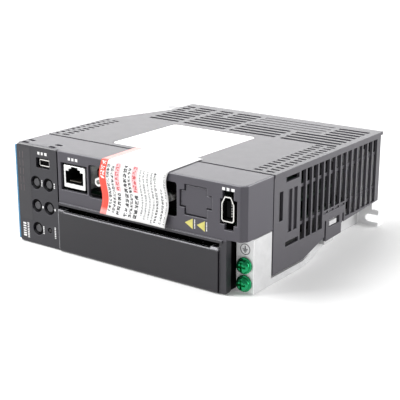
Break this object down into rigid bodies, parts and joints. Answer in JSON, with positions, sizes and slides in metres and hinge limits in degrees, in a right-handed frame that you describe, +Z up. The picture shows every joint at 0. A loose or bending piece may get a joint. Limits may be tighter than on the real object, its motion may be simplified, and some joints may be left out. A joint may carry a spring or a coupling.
{
  "type": "servo drive",
  "caption": "Book-format servo drive lying on its side: vented plastic housing on a finned cast heat sink, keypad, connectors, hinged terminal door and slotted lugs.",
  "frame": {"origin": "centre of the bounding box, on the surface that the drive lies on", "axes": "+X along the front panel towards the drive's bottom end, +Y from the front panel to the mounting plate, +Z up, through the drive's right side"},
  "size_m": [0.158, 0.1504, 0.0581],
  "materials": {
    "cast_aluminium": "satin cast and machined",
    "case_plastic": "fine moulded texture",
    "panel_plastic": "fine moulded texture",
    "cover_plastic": "fine moulded texture",
    "accent_blue": "satin",
    "smoked_window": "gloss smoked window",
    "black_plastic": "satin",
    "board_laminate": "solder mask",
    "led_lens": "unlit tinted lens",
    "nickel_steel": "nickel plate",
    "green_screw": "green passivated",
    "ferrite": "matte",
    "relay_blue": "satin",
    "key_rubber": "matte",
    "capacitor_sleeve": "shrink sleeve",
    "label_film": "satin film",
    "tag_film": "satin film"
  },
  "bodies": {
    "chassis": {"accent_strip": "accent_blue", "board_screw_1": "nickel_steel", "board_screw_2": "nickel_steel", "board_screw_3": "nickel_steel", "board_screw_4": "nickel_steel", "brake_terminal_block": "black_plastic", "charge_led": "led_lens", "control_board": "board_laminate", "control_panel": "panel_plastic", "dc_link_capacitor_1": "capacitor_sleeve", "dc_link_capacitor_2": "capacitor_sleeve", "dc_link_capacitor_3": "capacitor_sleeve", "display_module": "black_plastic", "display_window": "smoked_window", "down_switch": "black_plastic", "dsub_post_left": "nickel_steel", "dsub_post_right": "nickel_steel", "dsub_socket": "black_plastic", "encoder_socket": "nickel_steel", "fan_frame": "black_plastic", "flyback_transformer": "ferrite", "front_case": "case_plastic", "ground_screw_lower": "green_screw", "ground_screw_upper": "green_screw", "heat_sink": "cast_aluminium", "input_terminal_block": "black_plastic", "inrush_relay": "relay_blue", "keypad_board": "board_laminate", "knockout_cover": "case_plastic", "mode_switch": "black_plastic", "motor_terminal_block": "black_plastic", "nameplate_label": "label_film", "peel_off_tag": "tag_film", "power_board": "board_laminate", "power_module": "black_plastic", "processor_chip": "black_plastic", "rear_housing": "case_plastic", "rj45_socket": "nickel_steel", "set_switch": "black_plastic", "shift_switch": "black_plastic", "up_switch": "black_plastic", "usb_socket": "nickel_steel"},
    "cover": {"terminal_cover": "cover_plastic"},
    "rotor": {"fan_rotor": "black_plastic"},
    "mode_key": {"mode_button": "key_rubber"},
    "shift_key": {"shift_button": "key_rubber"},
    "up_key": {"up_button": "key_rubber"},
    "down_key": {"down_button": "key_rubber"},
    "set_key": {"set_button": "key_rubber"}
  },
  "joints": [
    {"name": "cover_hinge", "type": "hinge", "parent": "chassis", "child": "cover", "pos_m": [0.0086, -0.06775, 0.005], "axis": [1, 0, 0], "range_deg": [0, 90]},
    {"name": "fan_spin", "type": "hinge", "parent": "chassis", "child": "rotor", "pos_m": [-0.0692, -0.01575, 0.0305], "axis": [1, 0, 0], "continuous": true},
    {"name": "mode_press", "type": "slide", "parent": "chassis", "child": "mode_key", "axis": [0, 1, 0], "range_m": [0, 0.0005], "stiffness_N_per_m": 1000},
    {"name": "shift_press", "type": "slide", "parent": "chassis", "child": "shift_key", "axis": [0, 1, 0], "range_m": [0, 0.0005], "stiffness_N_per_m": 1000},
    {"name": "up_press", "type": "slide", "parent": "chassis", "child": "up_key", "axis": [0, 1, 0], "range_m": [0, 0.0005], "stiffness_N_per_m": 1000},
    {"name": "down_press", "type": "slide", "parent": "chassis", "child": "down_key", "axis": [0, 1, 0], "range_m": [0, 0.0005], "stiffness_N_per_m": 1000},
    {"name": "set_press", "type": "slide", "parent": "chassis", "child": "set_key", "axis": [0, 1, 0], "range_m": [0, 0.0005], "stiffness_N_per_m": 1000}
  ]
}
